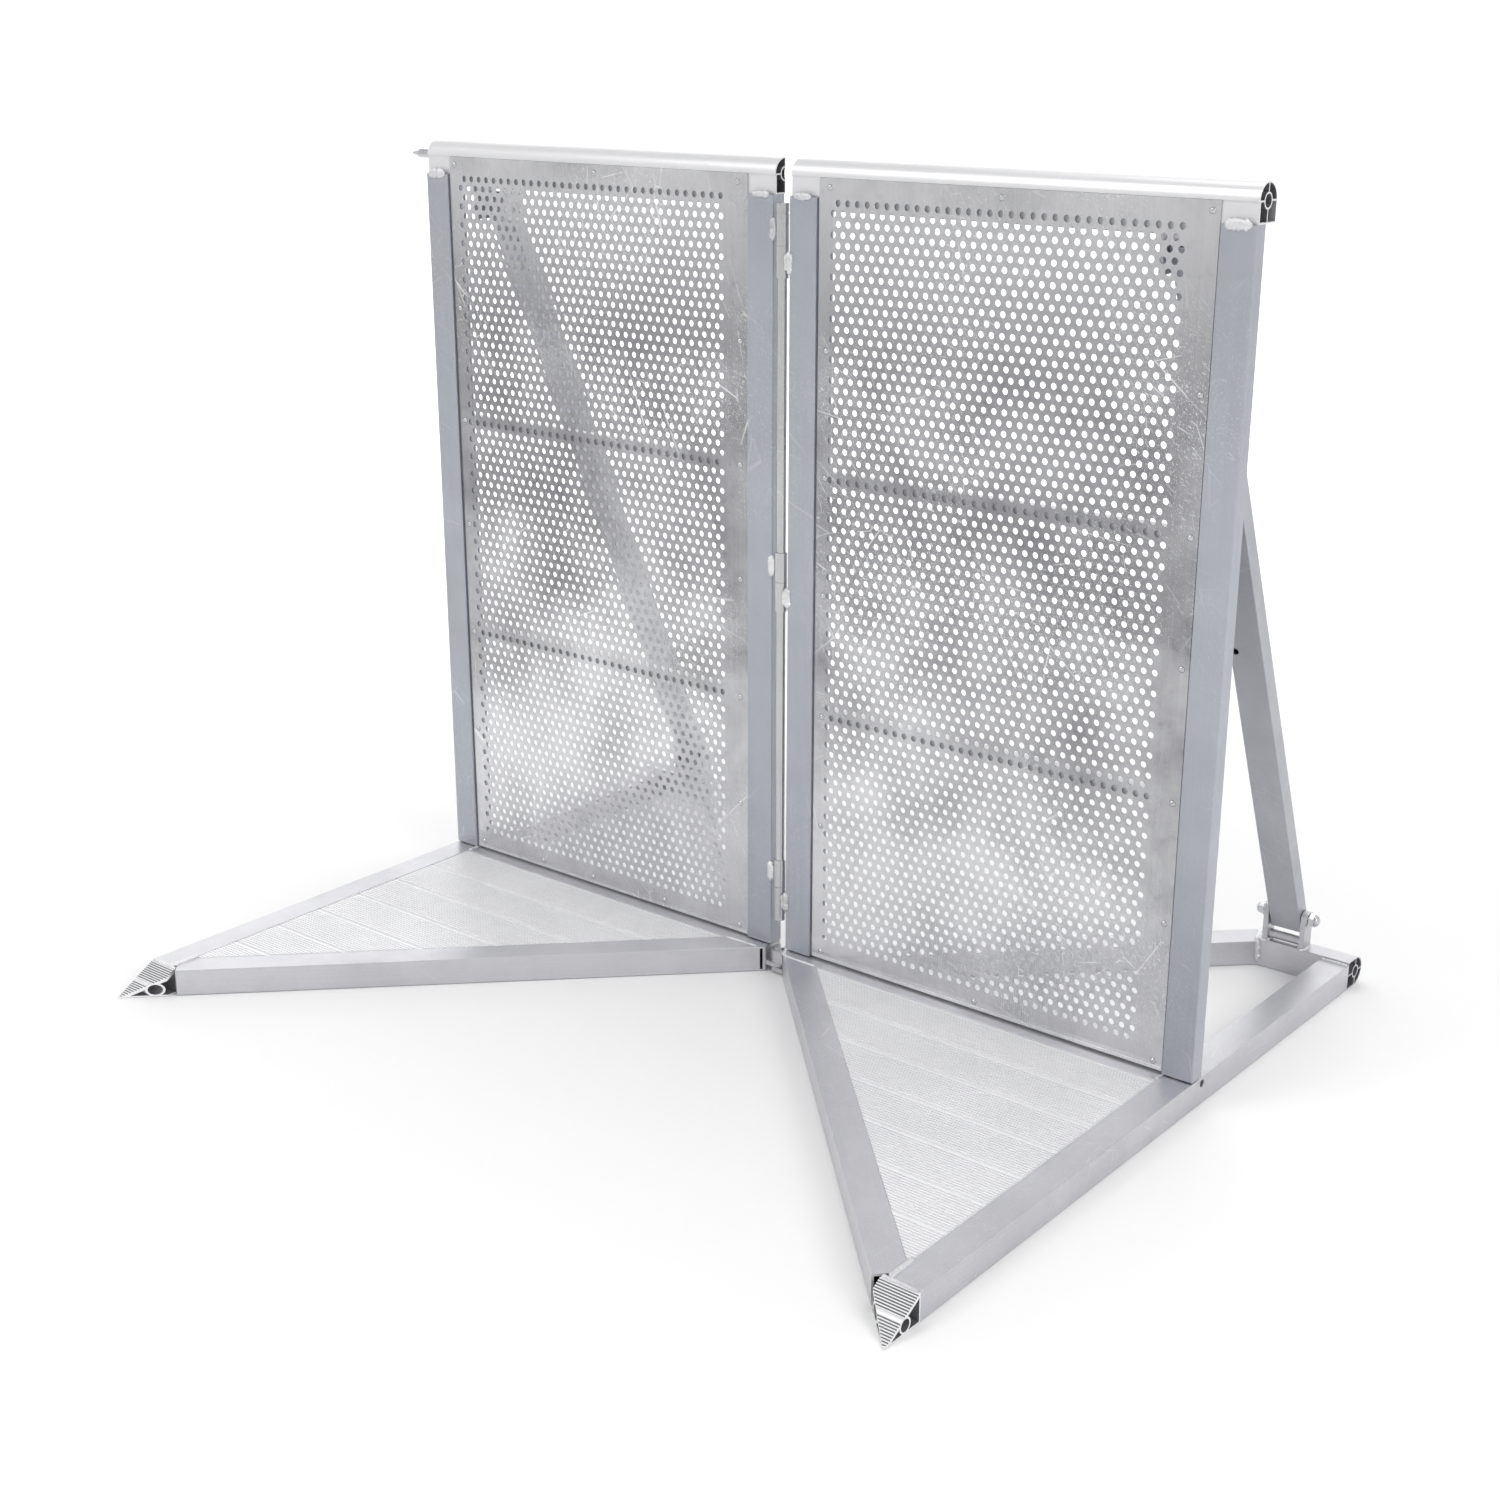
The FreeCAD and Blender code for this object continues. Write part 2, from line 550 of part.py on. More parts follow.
def make_strut():
    lean = Rotation(Vector(1, 0, 0), number("strut_lean"))
    body = tube("strut_blank", "strut_length", "strut_width", "strut_depth", "strut_wall",
                "tube_radius", along="z")
    put(body, "-strut_width / 2", "-strut_depth / 2", "-strut_foot")
    across = ("-strut_width / 2 - 1", "strut_width / 2 + 1")
    stud_hole = round_bar("strut_stud_hole", "x", "stud_bore", *across, "0", "0")
    pin_hole = round_bar("strut_pin_hole", "x", "stud_size", *across, "0", "pin_reach")
    lock_hole = round_bar("strut_lock_hole", "y", "pivot_window", "-strut_depth", "0",
                          "-strut_width / 3", "0")
    bind(lock_hole, base_z="pin_reach * 0.46")
    finished = cut("strut_drilled", body, stud_hole, pin_hole, lock_hole)
    leant = group("strut_leant", finished)
    leant.Placement = Placement(Vector(), lean)
    bind(leant, base_x="strut_middle", base_y="strut_y", base_z="strut_z")
    pair("strut", group("strut_node", leant))
    angle = math.radians(number("strut_lean"))
    pin_y = "strut_y - pin_reach * %.8f" % math.sin(angle)
    pin_z = "strut_z + pin_reach * %.8f" % math.cos(angle)
    reach = "strut_width / 2 + 13"
    pair("strut_top_pin", round_bar("top_pin", "x", "stud_size", "strut_middle - " + "(%s)" % reach,
                                    "strut_middle + " + reach, pin_y, pin_z))
    make_hanger(pin_y, pin_z, lean)


def make_hanger(pin_y, pin_z, lean):
    """Bracket under the rail whose notches, open to the rear, hold the strut's top pin."""
    top = "barrier_height - rail_height"
    parts = [block("hanger_top", ("strut_middle - strut_width / 2 - ear_gap - hanger_thick",
                                  "strut_middle + strut_width / 2 + ear_gap + hanger_thick"),
                   ("24", "rail_depth"), (top + " - hanger_plate", top))]
    for direction in (-1, 1):
        name = "hanger_%s" % ("near" if direction > 0 else "far")
        span = beside("strut_width / 2 + ear_gap", "hanger_thick", direction)
        parts.append(block(name + "_ear", span, ("24", "66"), (pin_z + " - 18", top)))
    slot = block("hanger_slot", ("-60", "60"), ("0", "60"), ("-notch / 2", "notch / 2"))
    slot_round = round_bar("hanger_slot_round", "x", "notch", "-60", "60", "0", "0")
    notch = joined("hanger_notch", slot, slot_round)
    notch.Placement = Placement(Vector(), lean)
    bind(notch, base_x="strut_middle", base_y=pin_y, base_z=pin_z)
    slant = block("hanger_slant", ("-60", "60"), ("0", "80"), ("0", "120"))
    slant.Placement = Placement(Vector(), Rotation(Vector(1, 0, 0), 30))
    bind(slant, base_x="strut_middle - 60", base_y="rail_depth", base_z=top + " + 1")
    pair("strut_hanger", cut("hanger", joined("hanger_solid", *parts), notch, slant))


def make_clevis():
    span = ("strut_middle - strut_width / 2 - ear_gap", "strut_middle + strut_width / 2 + ear_gap")
    parts = [round_bar("clevis_bar", "x", "bar_size", *span, "strut_y", "rail_depth + bar_size / 2 + 2")]
    washers = []
    nuts = []
    for direction in (-1, 1):
        name = "ear_%s" % ("near" if direction > 0 else "far")
        span = beside("strut_width / 2 + ear_gap", "ear_thick", direction)
        parts.append(block(name, span, ("strut_y - ear_width / 2", "strut_y + ear_width / 2"),
                           ("rail_depth", "strut_z")))
        parts.append(round_bar(name + "_round", "x", "ear_width", *span, "strut_y", "strut_z"))
        washer_span = beside("strut_width / 2 + ear_gap + ear_thick", "washer_thick", direction)
        disc = round_bar(name + "_disc", "x", "washer_size", *washer_span, "strut_y", "strut_z")
        hole = round_bar(name + "_disc_hole", "x", "stud_bore", "300", "800", "strut_y", "strut_z")
        washers.append(cut(name + "_washer", disc, hole))
        nuts.append(cap_nut(name, direction))
    bore = round_bar("clevis_bore", "x", "stud_bore", "300", "800", "strut_y", "strut_z")
    pair("strut_clevis", cut("clevis", joined("clevis_solid", *parts), bore))
    pair("clevis_washers", group("washers", *washers))
    pair("cap_nuts", group("nuts", *nuts))
    half = "strut_width / 2 + ear_gap + ear_thick + washer_thick + nut_length"
    pair("clevis_stud", round_bar("stud", "x", "stud_size", "strut_middle - (%s)" % half,
                                  "strut_middle + %s" % half, "strut_y", "strut_z"))


def cap_nut(name, direction):
    """Hexagon nut with a domed cap, bored for the stud."""
    start = "strut_width / 2 + ear_gap + ear_thick + washer_thick"
    inner, outer = beside(start, "nut_length", direction)
    hexagon = doc.addObject("Part::Prism", name + "_hexagon")
    hexagon.Polygon = 6
    hexagon.Placement = Placement(Vector(), AXIS_TURNS["x"])
    bind(hexagon, Circumradius="nut_size / 2 * 1.1547", Height="nut_length",
         base_x=inner, base_y="strut_y", base_z="strut_z")
    face = "strut_middle + %d * (%s + nut_length)" % (direction, start)
    tip = "strut_middle + %d * (%s + nut_length + nut_dome)" % (direction, start)
    if direction > 0:
        dome = round_bar(name + "_dome", "x", "nut_size * 0.92", face, tip, "strut_y", "strut_z",
                         second="nut_size * 0.45")
    else:
        dome = round_bar(name + "_dome", "x", "nut_size * 0.45", tip, face, "strut_y", "strut_z",
                         second="nut_size * 0.92")
    bore = round_bar(name + "_nut_bore", "x", "stud_size", inner, outer, "strut_y", "strut_z")
    return cut(name + "_nut", joined(name + "_nut_solid", hexagon, dome), bore)


def make_spigot():
    """Pin in the left rail's ring that enters the next barrier's rail."""
    height = "barrier_height - rail_depth / 2"
    seat = round_bar("spigot_seat_bar", "x", "ring_bore", "half_width - spigot_seat", "half_width",
                     "rail_depth / 2", height)
    body = round_bar("spigot_body_bar", "x", "spigot_size", "half_width", "half_width + spigot_body",
                     "rail_depth / 2", height)
    tip = round_bar("spigot_tip_cone", "x", "spigot_size", "half_width + spigot_body",
                    "half_width + spigot_body + spigot_tip", "rail_depth / 2", height, second="spigot_end")
    mirror_only("rail_spigot", joined("spigot", seat, body, tip))


def check_and_save():
    doc.recompute()
    for thing in doc.Objects:
        if "Invalid" in thing.State or "Error" in thing.State:
            raise RuntimeError("%s did not compute: %s" % (thing.Name, thing.State))
    os.makedirs("parts", exist_ok=True)
    for label, thing in nodes.items():
        if thing.Shape.isNull() or not thing.Shape.isValid() or thing.Shape.Volume <= 0:
            raise RuntimeError("%s has no valid solid" % label)
        thing.Shape.exportStep("parts/%s.step" % label)
        box = thing.Shape.BoundBox
        print("%-26s solids %d volume %10.0f  x %.1f..%.1f y %.1f..%.1f z %.1f..%.1f" % (
            label, len(thing.Shape.Solids), thing.Shape.Volume, box.XMin, box.XMax,
            box.YMin, box.YMax, box.ZMin, box.ZMax))
    print("nodes", len(nodes))


make_posts()
make_cross_tubes()
make_rail()
make_sided_sheets()
make_corner_hinge()
make_base_tubes()
make_crossbar()
make_deck()
make_nose()
make_base_hinge()
make_feet()
make_strut()
make_clevis()
make_spigot()
check_and_save()
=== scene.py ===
import json
import math
import random

import bmesh
import bpy
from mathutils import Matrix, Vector

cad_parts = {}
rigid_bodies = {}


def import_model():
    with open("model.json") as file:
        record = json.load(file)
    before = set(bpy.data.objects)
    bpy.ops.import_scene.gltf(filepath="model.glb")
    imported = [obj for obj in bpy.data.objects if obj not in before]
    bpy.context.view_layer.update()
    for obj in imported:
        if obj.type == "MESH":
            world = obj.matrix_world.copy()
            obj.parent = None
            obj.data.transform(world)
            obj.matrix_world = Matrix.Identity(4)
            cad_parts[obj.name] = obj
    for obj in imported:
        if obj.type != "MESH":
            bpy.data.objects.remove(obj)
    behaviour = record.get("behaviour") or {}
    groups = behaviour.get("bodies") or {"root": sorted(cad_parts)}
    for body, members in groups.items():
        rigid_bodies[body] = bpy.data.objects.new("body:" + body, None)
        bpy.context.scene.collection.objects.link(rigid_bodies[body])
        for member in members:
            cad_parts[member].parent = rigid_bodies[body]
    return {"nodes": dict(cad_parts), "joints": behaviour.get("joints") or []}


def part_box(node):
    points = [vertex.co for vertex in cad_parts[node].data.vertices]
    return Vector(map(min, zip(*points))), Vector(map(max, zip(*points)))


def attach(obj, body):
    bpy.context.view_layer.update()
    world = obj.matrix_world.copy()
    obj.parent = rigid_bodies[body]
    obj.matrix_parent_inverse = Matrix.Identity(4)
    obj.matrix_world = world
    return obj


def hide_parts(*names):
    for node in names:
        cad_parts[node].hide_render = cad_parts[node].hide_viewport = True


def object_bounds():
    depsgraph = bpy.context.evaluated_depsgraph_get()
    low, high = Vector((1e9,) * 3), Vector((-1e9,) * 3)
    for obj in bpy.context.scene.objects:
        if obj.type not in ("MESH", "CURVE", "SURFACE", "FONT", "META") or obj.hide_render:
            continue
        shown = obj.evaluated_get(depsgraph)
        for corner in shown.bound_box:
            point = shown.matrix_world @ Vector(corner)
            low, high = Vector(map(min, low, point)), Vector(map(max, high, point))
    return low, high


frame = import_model()
cad_box = [list(corner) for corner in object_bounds()]
dice = random.Random(5)

MM = 0.001
SIDES = {"right": 1, "left": -1}
BODY = {side: side + "_half" for side in SIDES}

# perforations of the sheets: round holes on a triangular grid
PITCH = 16 * MM
HOLE_RADIUS = 4.5 * MM
HOLE_SIDES = 18
HOLE_COLUMNS = 33
HOLE_ROWS = 78
TOP_ROW = 1145 * MM
PATTERN_SHIFT = 4.5 * MM
# cell corners closer than this are one corner, edges this close to a face lie in it, and smaller faces go
KEY_STEP = 1e-5
ON_FACE = 1e-7
NO_AREA = 1e-10

# the bullnose extrusion of the top rails and rear cross bars
NOSE_RADIUS = 22.5 * MM
NOSE_REACH = 21.4 * MM
RAIL_SKIRT = 25.5 * MM
RAIL_STEP = 2.1 * MM
RAMP_WALL = 2 * MM
# a face whose normal points further along X than this is a cut end, which gets no painted shade
END_FACE = 0.5

joint_places = {joint["name"]: Vector(joint["pos_m"]) for joint in frame["joints"]}
hinge = joint_places["corner_hinge"]
pivots = {side: joint_places[side + "_strut_hinge"] for side in SIDES}
scene_objects = bpy.context.scene.collection.objects


# ------------------------------------------------------------------ materials

# lengths in metres along and across the die lines left by the extrusion press
DIE_LINES = (1.2, 0.004, 0.004)
FINE_LINES = (0.25, 0.0012, 0.0012)
# straight scratches: direction, width and seed of each set, all of one length
SCRATCHES = ((0.5, 0.0022, 3.1), (1.25, 0.0016, 7.7), (2.2, 0.0019, 1.9), (2.75, 0.0015, 5.3))
SCRATCH_LENGTH = 0.14
# long crooked scratches, along the borders of cells: scale and seed of each set
CROOKED_SCRATCHES = ((7.0, 0.3), (13.0, 4.7))
SCRATCHED = (0.93, 0.93, 0.94)
# where each noise is cut off to make a mask: nothing below the first number, all above the second
FIBRE_CUT = (0.69, 0.715)
PART_CUT = (0.50, 0.56)
PATCH_CUT = (0.40, 0.58)
LINE_CUT = (0.3, 0.7)
CLOUD_CUT = (0.35, 0.7)
SPOT_CUT = (0.55, 0.75)
CROOKED_WIDTH = 0.0008
STREAK_SHARE = 0.5
SPOT_SHARE = 0.35
# how far the clouds shift the heights of the painted reflection fades
PAINTED_FADE_WOBBLE = 0.35
# how much rougher the die lines and the clouds make the metal, and the mean of both
LINE_WEAR = 0.16
CLOUD_WEAR = 0.22
MEAN_WEAR = 0.19
# relief of the die lines and scratches, in shares of its depth in metres
FINE_RELIEF = 0.35
SCRATCH_RELIEF = -0.8
RELIEF_DEPTH = 0.0004


def noise(nodes, links, vector, scale, detail=4, rough=0.5):
    n = nodes.new("ShaderNodeTexNoise")
    n.inputs["Scale"].default_value = scale
    n.inputs["Detail"].default_value = detail
    n.inputs["Roughness"].default_value = rough
    links.new(vector, n.inputs["Vector"])
    return n.outputs["Fac"]


def mapped(nodes, links, vector, turn, scale, shift=(0, 0, 0)):
    m = nodes.new("ShaderNodeMapping")
    m.vector_type = "TEXTURE"
    m.inputs["Rotation"].default_value = turn
    m.inputs["Scale"].default_value = scale
    m.inputs["Location"].default_value = shift
    links.new(vector, m.inputs["Vector"])
    return m.outputs["Vector"]


def ranged(nodes, links, value, low, high, to_low, to_high):
    r = nodes.new("ShaderNodeMapRange")
    for name, number in (("From Min", low), ("From Max", high), ("To Min", to_low), ("To Max", to_high)):
        r.inputs[name].default_value = number
    links.new(value, r.inputs["Value"])
    return r.outputs["Result"]


def maths(nodes, links, operation, a, b):
    m = nodes.new("ShaderNodeMath")
    m.operation = operation
    for socket, value in zip(m.inputs, (a, b)):
        if isinstance(value, (int, float)):
            socket.default_value = value
        else:
            links.new(value, socket)
    return m.outputs[0]


def scratch_marks(nodes, links, place):
    """Mask of thin scratches, straight and crooked, that come in patches."""
    marks = None
    for angle, thick, seed in SCRATCHES:
        tilt = (0, angle, angle * 0.4)
        fibre = noise(nodes, links, mapped(nodes, links, place, tilt, (SCRATCH_LENGTH, thick, thick),
                                           (seed, seed, seed)), 1.6, 1, 0.4)
        thin = ranged(nodes, links, fibre, *FIBRE_CUT, 0.0, 1.0)
        marks = thin if marks is None else maths(nodes, links, "MAXIMUM", marks, thin)
    for scale, seed in CROOKED_SCRATCHES:
        cells = nodes.new("ShaderNodeTexVoronoi")
        cells.feature = "DISTANCE_TO_EDGE"
        cells.inputs["Scale"].default_value = scale
        cells.inputs["Randomness"].default_value = 1.0
        links.new(mapped(nodes, links, place, (0.4, 0.9 * seed, 0.2), (1.9, 1, 0.8), (seed, seed, seed)),
                  cells.inputs["Vector"])
        line = ranged(nodes, links, cells.outputs["Distance"], 0.0, CROOKED_WIDTH * scale, 1.0, 0.0)
        part = ranged(nodes, links, noise(nodes, links, place, 19.0 + seed, 2, 0.5), *PART_CUT, 0.0, 1.0)
        marks = maths(nodes, links, "MAXIMUM", marks, maths(nodes, links, "MULTIPLY", line, part))
    patches = ranged(nodes, links, noise(nodes, links, place, 4.0, 3, 0.5), *PATCH_CUT, 0.0, 1.0)
    return maths(nodes, links, "MULTIPLY", marks, patches)


def metal(name, color, dark, rough, turn=(0, 0, 0), streak=0.5, scratches=0.3, stain_and_reflection=0.35, bump=0.25,
          metallic=0.85, lumps=0.0, painted_reflection_fades=()):
    """Bare metal: die lines along the turned X axis, thin random scratches and cloudy handling stains, which
    on the sheet also paint soft reflections.

    Each painted reflection fade adds to the darkness between two heights: low, high, and what it adds below
    and above them.
    """
    mat = bpy.data.materials.new(name)
    mat.use_nodes = True
    nodes, links = mat.node_tree.nodes, mat.node_tree.links
    shader = nodes["Principled BSDF"]
    shader.inputs["Metallic"].default_value = metallic
    place = nodes.new("ShaderNodeTexCoord").outputs["Object"]
    lines = noise(nodes, links, mapped(nodes, links, place, turn, DIE_LINES), 3.0, 5, 0.7)
    fine = noise(nodes, links, mapped(nodes, links, place, turn, FINE_LINES), 2.0, 3, 0.6)
    cloud = noise(nodes, links, place, 7.0, 6, 0.6)
    spots = noise(nodes, links, place, 60.0, 4, 0.6)
    marks = scratch_marks(nodes, links, place)
    blend = maths(nodes, links, "ADD",
                  maths(nodes, links, "MULTIPLY", ranged(nodes, links, lines, *LINE_CUT, 0.0, 1.0),
                        streak * STREAK_SHARE),
                  maths(nodes, links, "MULTIPLY", ranged(nodes, links, cloud, *CLOUD_CUT, 0.0, 1.0), stain_and_reflection))
    blend = maths(nodes, links, "ADD", blend,
                  maths(nodes, links, "MULTIPLY", ranged(nodes, links, spots, *SPOT_CUT, 0.0, 1.0),
                        stain_and_reflection * SPOT_SHARE))
    # painted reflection: bands of darkness by height, their edges wobbled by the clouds
    if painted_reflection_fades:
        apart = nodes.new("ShaderNodeSeparateXYZ")
        links.new(place, apart.inputs["Vector"])
        climb = maths(nodes, links, "ADD", apart.outputs["Z"],
                      maths(nodes, links, "MULTIPLY", cloud, PAINTED_FADE_WOBBLE))
        for painted_fade in painted_reflection_fades:
            blend = maths(nodes, links, "ADD", blend, ranged(nodes, links, climb, *painted_fade))
    mix = nodes.new("ShaderNodeMix")
    mix.data_type = "RGBA"
    mix.inputs["A"].default_value = (*color, 1)
    mix.inputs["B"].default_value = (*dark, 1)
    links.new(blend, mix.inputs["Factor"])
    scratched = nodes.new("ShaderNodeMix")
    scratched.data_type = "RGBA"
    scratched.inputs["B"].default_value = (*SCRATCHED, 1)
    links.new(mix.outputs["Result"], scratched.inputs["A"])
    links.new(maths(nodes, links, "MULTIPLY", marks, scratches), scratched.inputs["Factor"])
    links.new(scratched.outputs["Result"], shader.inputs["Base Color"])
    wear = maths(nodes, links, "ADD", maths(nodes, links, "MULTIPLY", lines, LINE_WEAR),
                 maths(nodes, links, "MULTIPLY", cloud, CLOUD_WEAR))
    links.new(maths(nodes, links, "ADD", wear, rough - MEAN_WEAR), shader.inputs["Roughness"])
    height = maths(nodes, links, "ADD", maths(nodes, links, "MULTIPLY", fine, FINE_RELIEF),
                   maths(nodes, links, "MULTIPLY", marks, SCRATCH_RELIEF * scratches))
    if lumps:
        height = maths(nodes, links, "ADD", height,
                       maths(nodes, links, "MULTIPLY", noise(nodes, links, place, 900.0, 3, 0.6), lumps))
    relief = nodes.new("ShaderNodeBump")
    relief.inputs["Strength"].default_value = bump
    relief.inputs["Distance"].default_value = RELIEF_DEPTH
    links.new(height, relief.inputs["Height"])
    links.new(relief.outputs["Normal"], shader.inputs["Normal"])
    return mat


Y_TURN = (0, 0, math.radians(90))
Z_TURN = (0, math.radians(90), 0)
POST = ((0.45, 0.465, 0.51), (0.34, 0.35, 0.385), 0.34)
TUBE = ((0.64, 0.64, 0.665), (0.46, 0.46, 0.485), 0.40)
post_metal = metal("post_metal", *POST, turn=Z_TURN, metallic=0.7)
cross_metal = metal("cross_metal", (0.80, 0.80, 0.82), (0.62, 0.62, 0.64), 0.5, metallic=0.2)
rail_metal = metal("rail_metal", (0.80, 0.80, 0.81), (0.66, 0.66, 0.68), 0.34, streak=0.4, stain_and_reflection=0.25,
                   metallic=0.55)
# painted reflection: the very dark second colour, the cloudy stains and the height fades paint soft
# reflections on the sheet, lighter near the foot and the top and darker between; the clouds are partly real
# handling stains, and the die lines and scratches are its own
sheet_metal = metal("sheet_metal", (0.68, 0.68, 0.70), (0.19, 0.19, 0.203), 0.24, turn=Z_TURN, streak=0.25,
                    scratches=0.9, stain_and_reflection=0.4, bump=0.35,
                    painted_reflection_fades=((0.42, 0.82, -0.12, 0.46), (1.12, 1.32, 0.0, -0.5)))
tube_x = metal("tube_x_metal", *TUBE)
tube_y = metal("tube_y_metal", *TUBE, turn=Y_TURN)
tube_diag = {turn: metal("tube_diagonal_%d_metal" % turn, *TUBE, turn=(0, 0, math.radians(turn)))
             for turn in (45, -45)}
deck_metal = metal("deck_metal", (0.93, 0.93, 0.94), (0.78, 0.78, 0.80), 0.42, streak=0.45, stain_and_reflection=0.3,
                   scratches=0.5, metallic=0.25)
nose_metal = metal("nose_metal", (0.94, 0.94, 0.95), (0.76, 0.76, 0.78), 0.34, metallic=0.5, stain_and_reflection=0.4)
strut_metal = metal("strut_metal", (0.49, 0.50, 0.53), (0.36, 0.37, 0.40), 0.38, turn=Z_TURN, stain_and_reflection=0.4)
plate_metal = metal("plate_metal", (0.64, 0.64, 0.66), (0.44, 0.44, 0.46), 0.40, stain_and_reflection=0.6)
steel = metal("steel", (0.60, 0.60, 0.61), (0.40, 0.40, 0.41), 0.26, turn=Z_TURN, stain_and_reflection=0.4)
bright = metal("bright_steel", (0.62, 0.62, 0.64), (0.42, 0.42, 0.44), 0.18, stain_and_reflection=0.3, scratches=0.2,
               metallic=0.97)
weld_metal = metal("weld_metal", (0.90, 0.90, 0.91), (0.42, 0.42, 0.44), 0.30, stain_and_reflection=0.75, streak=0.1,
                   bump=0.9, lumps=1.6)
# painted shade: a dark colour for the faces inside the rails' cells and the ramps' hollows, where little
# light reaches
painted_shade_metal = metal("painted_shade_metal", (0.20, 0.20, 0.21), (0.13, 0.13, 0.14), 0.55, metallic=0.3)

LOOK = {
    "outer_post": post_metal, "inner_post": post_metal, "top_cross_tube": cross_metal,
    "upper_cross_tube": cross_metal, "lower_cross_tube": cross_metal, "bottom_cross_tube": cross_metal,
    "top_rail": rail_metal, "rear_crossbar": tube_x, "perforated_sheet": sheet_metal, "sheet_screws": bright,
    "hinge_knuckles": steel, "hinge_rod": steel, "rod_collar": steel, "rod_end_ring": steel,
    "base_side_tube": tube_y, "base_cross_tube": tube_x, "deck_planks": deck_metal, "nose_ramp": nose_metal,
    "base_lugs": plate_metal, "base_lug": plate_metal, "base_pivot_pin": steel, "post_tongue": plate_metal,
    "pivot_pin": steel, "strut": strut_metal, "strut_top_pin": steel, "strut_hanger": plate_metal,
    "strut_clevis": plate_metal, "clevis_washers": bright, "cap_nuts": bright, "clevis_stud": steel,
    "rail_spigot": bright,
}


def look_of(node):
    """Material of a node. A diagonal tube's die lines run the way the tube does."""
    stem, _, side = node.rpartition("_")
    if stem in ("front_diagonal_tube", "rear_diagonal_tube"):
        return tube_diag[-45 if (stem[0] == "f") == (side == "right") else 45]
    return LOOK[stem if side in SIDES else node]


for node, thing in frame["nodes"].items():
    thing.data.materials.clear()
    thing.data.materials.append(look_of(node))


def shade_cells(node, centre_y, centre_z, on_side, step):
    """Paint shade on the faces inside a bullnose extrusion: a dark colour for the little light that reaches
    them.

    The centre is that of the round part. on_side is for the cross bar, the rail's extrusion laid down.
    """
    thing = frame["nodes"][node]
    thing.data.materials.append(painted_shade_metal)
    for face in thing.data.polygons:
        if abs(face.normal.x) > END_FACE:
            continue
        middle = thing.matrix_world @ face.center
        across, up = middle.y - centre_y, middle.z - centre_z
        if on_side:
            across, up = -up, across
        if up > 0:
            deep = math.hypot(across, up) < NOSE_REACH
        else:
            deep = abs(across) < NOSE_REACH - step and up > -RAIL_SKIRT
        if deep:
            face.material_index = 1


def shade_hollow(node, shrink):
    """Paint the same shade on the faces well inside a node's own box that face its middle."""
    thing = frame["nodes"][node]
    thing.data.materials.append(painted_shade_metal)
    low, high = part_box(node)
    centre = (low + high) / 2
    for face in thing.data.polygons:
        middle = thing.matrix_world @ face.center
        inside = all(low[i] + shrink < middle[i] < high[i] - shrink for i in (1, 2))
        if inside and face.normal.dot(centre - middle) > 0 and abs(face.normal.x) < END_FACE:
            face.material_index = 1


# painted shade inside the ramps' hollows and the cells of the top rails and rear cross bars
for side in SIDES:
    shade_hollow("nose_ramp_" + side, RAMP_WALL)
    low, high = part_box("top_rail_" + side)
    shade_cells("top_rail_" + side, low.y + NOSE_RADIUS, high.z - NOSE_RADIUS, False, RAIL_STEP)
    low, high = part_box("rear_crossbar_" + side)
    shade_cells("rear_crossbar_" + side, high.y - NOSE_RADIUS, low.z + NOSE_RADIUS, True, 0)


# ------------------------------------------------------------------ pieces

# weld beads: points round them, fewest rings, how far they stray in millimetres, waves and width at the tip
BEAD_SIDES = 12
BEAD_STEPS = 8
BEAD_WANDER = 0.5
BEAD_WAVE = 5
BEAD_TIP = 0.05
# the scallops of a bead: rings in each, smallest and largest size, and the ripple along each
SCALLOP_STEPS = 5
SCALLOP_SIZES = (0.82, 1.15)
SCALLOP_FOOT = 0.80
SCALLOP_RISE = 0.20
SAME_POINT = 1e-6


def piece(name, parts, body, material, smooth=True):
    """A visible piece made of (points, faces) parts, riding on a body."""
    mesh = joined_mesh(name, parts)
    thing = bpy.data.objects.new(name, mesh)
    scene_objects.link(thing)
    mesh.materials.append(material)
    for face in mesh.polygons:
        face.use_smooth = smooth
    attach(thing, body)
    return thing


def joined_mesh(name, parts):
    """One mesh from several (points, faces) parts."""
    points, faces = [], []
    for more_points, more_faces in parts:
        start = len(points)
        points += more_points
        faces += [[index + start for index in face] for face in more_faces]
    mesh = bpy.data.meshes.new(name)
    mesh.from_pydata(points, [], faces)
    mesh.update()
    return mesh


def tube_faces(rings, sides):
    """Quads between rings of points that follow each other, and a face at each end."""
    faces = []
    for ring in range(rings - 1):
        for side in range(sides):
            a, b = ring * sides + side, ring * sides + (side + 1) % sides
            faces.append([a, b, b + sides, a + sides])
    faces.append(list(range(sides))[::-1])
    faces.append([(rings - 1) * sides + side for side in range(sides)])
    return faces


